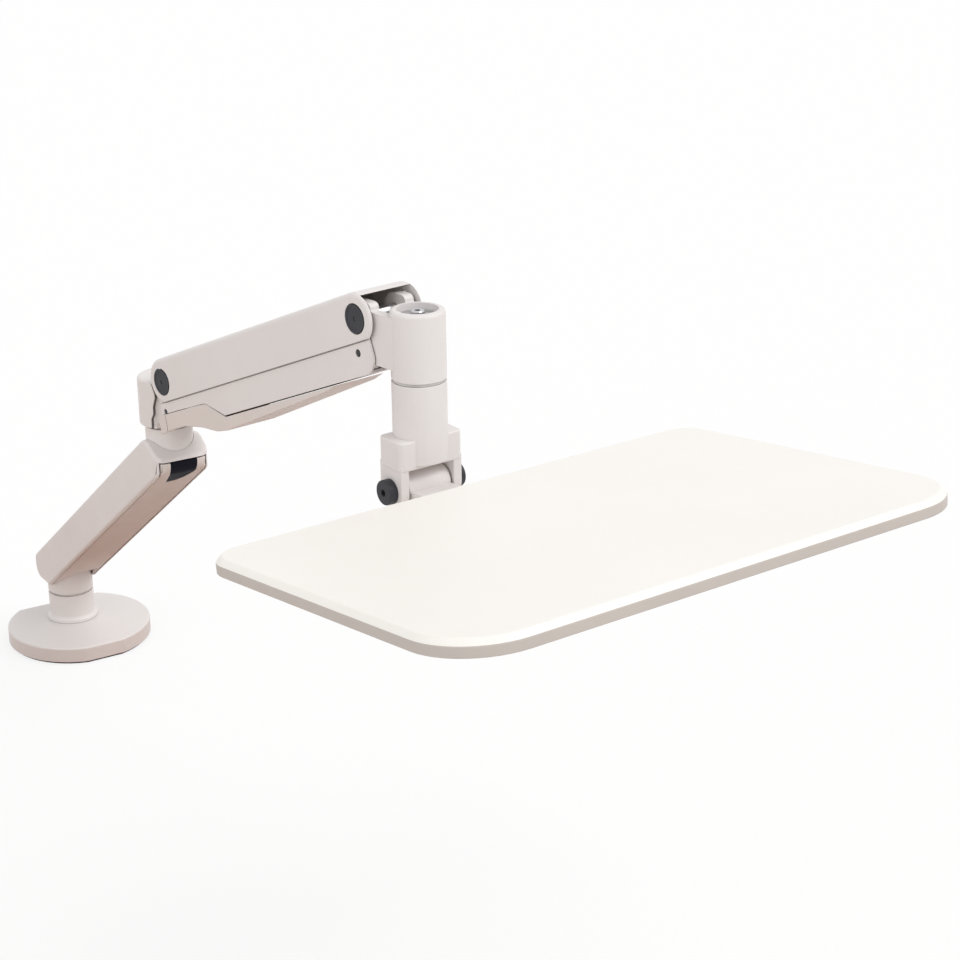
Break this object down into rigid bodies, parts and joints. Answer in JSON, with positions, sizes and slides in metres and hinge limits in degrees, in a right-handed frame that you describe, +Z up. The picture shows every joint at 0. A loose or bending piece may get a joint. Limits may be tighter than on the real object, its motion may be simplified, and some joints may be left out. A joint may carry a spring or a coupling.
{
  "type": "laptop arm mount",
  "caption": "Desk arm with a bolt-down base, a fixed lower link, a gas-spring upper arm, swivel joints and a tilting tray for a laptop.",
  "frame": {"origin": "on the base swivel axis, at the underside of the foot pad", "axes": "+Z up, +Y to the back, the tray lies toward -Y, +X to the right seen from the tray"},
  "size_m": [0.4582, 1.0499, 0.4938],
  "materials": {
    "white_steel": "warm white powder coat",
    "white_casting": "warm white powder coat on cast aluminium",
    "pale_plastic": "satin warm white plastic",
    "black_plastic": "satin black plastic",
    "grey_plastic": "dark grey plastic",
    "steel": "bright zinc",
    "black_steel": "dark grey paint",
    "rubber": "matt black rubber",
    "nylon": "grey nylon",
    "tray_white": "satin white moulded board"
  },
  "bodies": {
    "base": {"base_pad": "rubber", "base_plate": "white_steel", "base_bolt": "steel", "base_collar": "white_casting", "base_thrust_washer": "nylon", "base_spindle": "steel", "base_retainer": "steel", "base_retainer_screw": "steel"},
    "lower_link": {"base_bush": "nylon", "base_sleeve": "white_casting", "lower_link_casting": "white_casting", "lower_link_cover": "pale_plastic", "cable_port_plug": "black_plastic", "elbow_post": "white_casting", "elbow_bush": "nylon", "elbow_thrust_washer": "nylon"},
    "rear_knuckle_body": {"rear_knuckle": "white_casting", "elbow_spindle": "steel", "elbow_retainer": "steel", "elbow_retainer_screw": "steel", "rear_link_pin_near": "steel", "rear_link_pin_far": "steel", "spring_rear_pin": "steel"},
    "upper_arm": {"upper_shell": "white_casting", "rear_pivot_pin": "steel", "rear_pivot_cap_near": "grey_plastic", "rear_pivot_cap_far": "grey_plastic", "front_pivot_pin": "steel", "front_pivot_cap_near": "grey_plastic", "front_pivot_cap_far": "grey_plastic", "tension_screw_plug": "grey_plastic", "gas_cylinder": "black_steel", "spring_front_pin": "steel"},
    "lower_arm": {"lower_shell": "white_casting", "arm_cable_cover": "pale_plastic"},
    "gas_rod_body": {"gas_rod": "steel"},
    "front_knuckle_body": {"front_knuckle": "white_casting", "head_bush": "nylon", "head_thrust_washer": "nylon", "front_link_pin_near": "steel", "front_link_pin_far": "steel"},
    "head": {"head_post": "white_casting", "head_retainer": "steel", "head_retainer_screw": "steel", "tilt_pin": "steel", "tilt_washer_left": "nylon", "tilt_washer_right": "nylon", "tilt_nut_left": "grey_plastic", "tilt_nut_right": "grey_plastic"},
    "tray": {"tray_bracket": "white_casting", "tray_board": "tray_white", "tray_screw_1": "steel", "tray_screw_2": "steel", "tray_screw_3": "steel", "tray_screw_4": "steel"}
  },
  "joints": [
    {"name": "base_swivel", "type": "hinge", "parent": "base", "child": "lower_link", "pos_m": [0, 0, 0.0482], "axis": [0, 0, 1], "range_deg": [-170, 170]},
    {"name": "elbow_swivel", "type": "hinge", "parent": "lower_link", "child": "rear_knuckle_body", "pos_m": [0, -0.2849, 0.309], "axis": [0, 0, 1], "range_deg": [-90, 90]},
    {"name": "arm_lift", "type": "hinge", "parent": "rear_knuckle_body", "child": "upper_arm", "pos_m": [0.00541, -0.31907, 0.359], "axis": [-0.9877, -0.1564, 0], "range_deg": [-35, 15]},
    {"name": "link_lift", "type": "hinge", "parent": "rear_knuckle_body", "child": "lower_arm", "pos_m": [0.00541, -0.31907, 0.3317], "axis": [-0.9877, -0.1564, 0], "range_deg": [-35, 15]},
    {"name": "front_level", "type": "hinge", "parent": "upper_arm", "child": "front_knuckle_body", "pos_m": [0.04877, -0.59283, 0.4738], "axis": [-0.9877, -0.1564, 0], "range_deg": [-15, 35]},
    {"name": "rod_stroke", "type": "slide", "parent": "upper_arm", "child": "gas_rod_body", "axis": [-0.139, 0.8776, -0.4588], "range_m": [-0.0113, 0.0049]},
    {"name": "head_swivel", "type": "hinge", "parent": "front_knuckle_body", "child": "head", "pos_m": [0.05553, -0.63553, 0.433], "axis": [0, 0, 1], "range_deg": [-90, 90]},
    {"name": "tray_tilt", "type": "hinge", "parent": "head", "child": "tray", "pos_m": [0.05553, -0.63553, 0.348], "axis": [0.9963, 0.0854, 0], "range_deg": [-20, 20]}
  ],
  "couplings": [
    {"joint": "link_lift", "follows": "arm_lift", "ratio": 1},
    {"joint": "front_level", "follows": "arm_lift", "ratio": -1},
    {"joint": "rod_stroke", "follows": "arm_lift", "m_per_rad": 0.0183}
  ]
}
